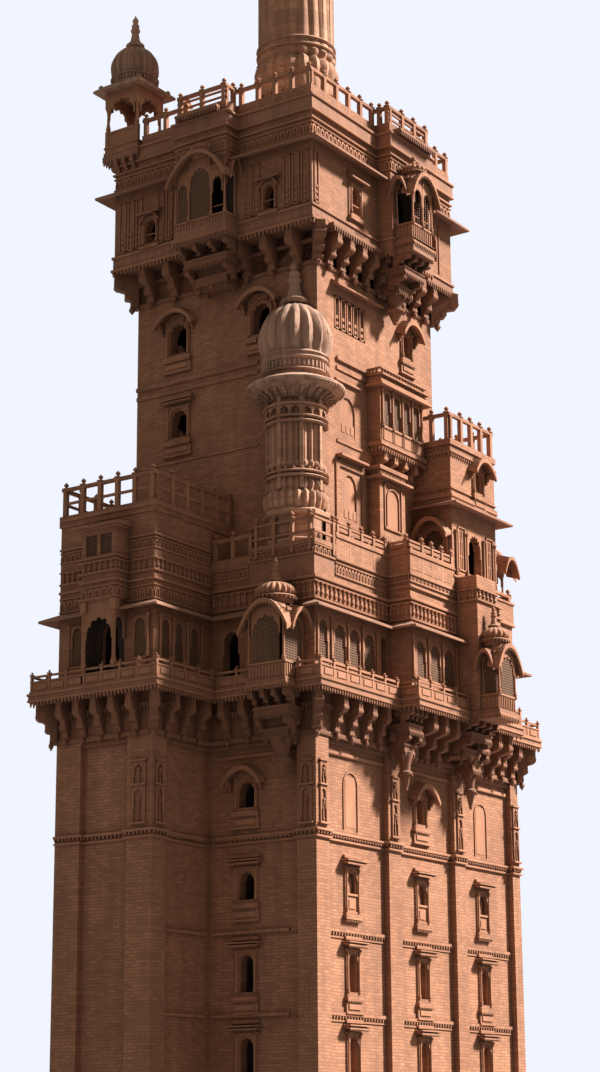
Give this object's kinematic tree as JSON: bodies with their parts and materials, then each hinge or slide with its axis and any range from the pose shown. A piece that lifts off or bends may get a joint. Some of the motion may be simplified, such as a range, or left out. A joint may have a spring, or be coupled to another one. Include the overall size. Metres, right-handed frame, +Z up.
{
  "type": "palace tower with minaret, 1:2 scale model",
  "caption": "Square sandstone palace tower in stepped storeys with overhanging balconies, hooded windows, a domed corner turret, a roof kiosk and a domed minaret on the roof; a 1:2 scale model.",
  "frame": {"origin": "centre of the main body's footprint on the ground, on the underside of the plinth", "axes": "+Z up; +X to the right along the front; +Y from the front into the building"},
  "size_m": [10.3053, 7.155, 29.55],
  "materials": {
    "sandstone": "matte",
    "dark_sandstone": "matte"
  },
  "bodies": {
    "root": {"plinth": "dark_sandstone", "lower_front_wall": "sandstone", "lower_west_wall": "sandstone", "lower_rear_walls": "sandstone", "west_bay_lower_walls": "sandstone", "lower_floor_1": "dark_sandstone", "lower_floor_2": "dark_sandstone", "lower_floor_3": "dark_sandstone", "balcony_brackets": "dark_sandstone", "balcony_slab": "dark_sandstone", "balcony_parapet": "sandstone", "rear_balcony_parapet": "sandstone", "mid_front_wall": "sandstone", "mid_front_wall_right": "sandstone", "mid_west_wall": "sandstone", "mid_rear_walls": "sandstone", "front_bay": "sandstone", "side_bay": "sandstone", "west_bay_walls": "sandstone", "west_bay_oriel": "sandstone", "west_jharokha": "sandstone", "front_jharokha": "sandstone", "main_chajja": "dark_sandstone", "side_chajja": "dark_sandstone", "terrace_slab": "dark_sandstone", "terrace_parapet": "sandstone", "rear_terrace_parapet": "sandstone", "turret_block": "sandstone", "turret_shaft": "sandstone", "turret_dome": "dark_sandstone", "west_bay_roof": "sandstone", "pavilion_walls": "sandstone", "east_block_walls": "sandstone", "east_block_roof": "sandstone", "corner_kiosk": "sandstone", "shaft_front_wall": "sandstone", "shaft_west_wall": "sandstone", "shaft_rear_walls": "sandstone", "shaft_floor_1": "dark_sandstone", "shaft_floor_2": "dark_sandstone", "front_oriel": "sandstone", "upper_brackets": "dark_sandstone", "upper_floor": "dark_sandstone", "upper_front_wall": "sandstone", "upper_west_wall": "sandstone", "upper_rear_walls": "sandstone", "upper_chajja": "dark_sandstone", "rear_upper_chajja": "dark_sandstone", "upper_west_jharokha": "sandstone", "upper_south_jharokha": "sandstone", "roof_slab": "dark_sandstone", "roof_railing": "sandstone", "chhatri_arches": "sandstone", "chhatri_dome": "dark_sandstone", "minaret_shaft": "sandstone", "minaret_dome": "dark_sandstone"}
  },
  "joints": []
}
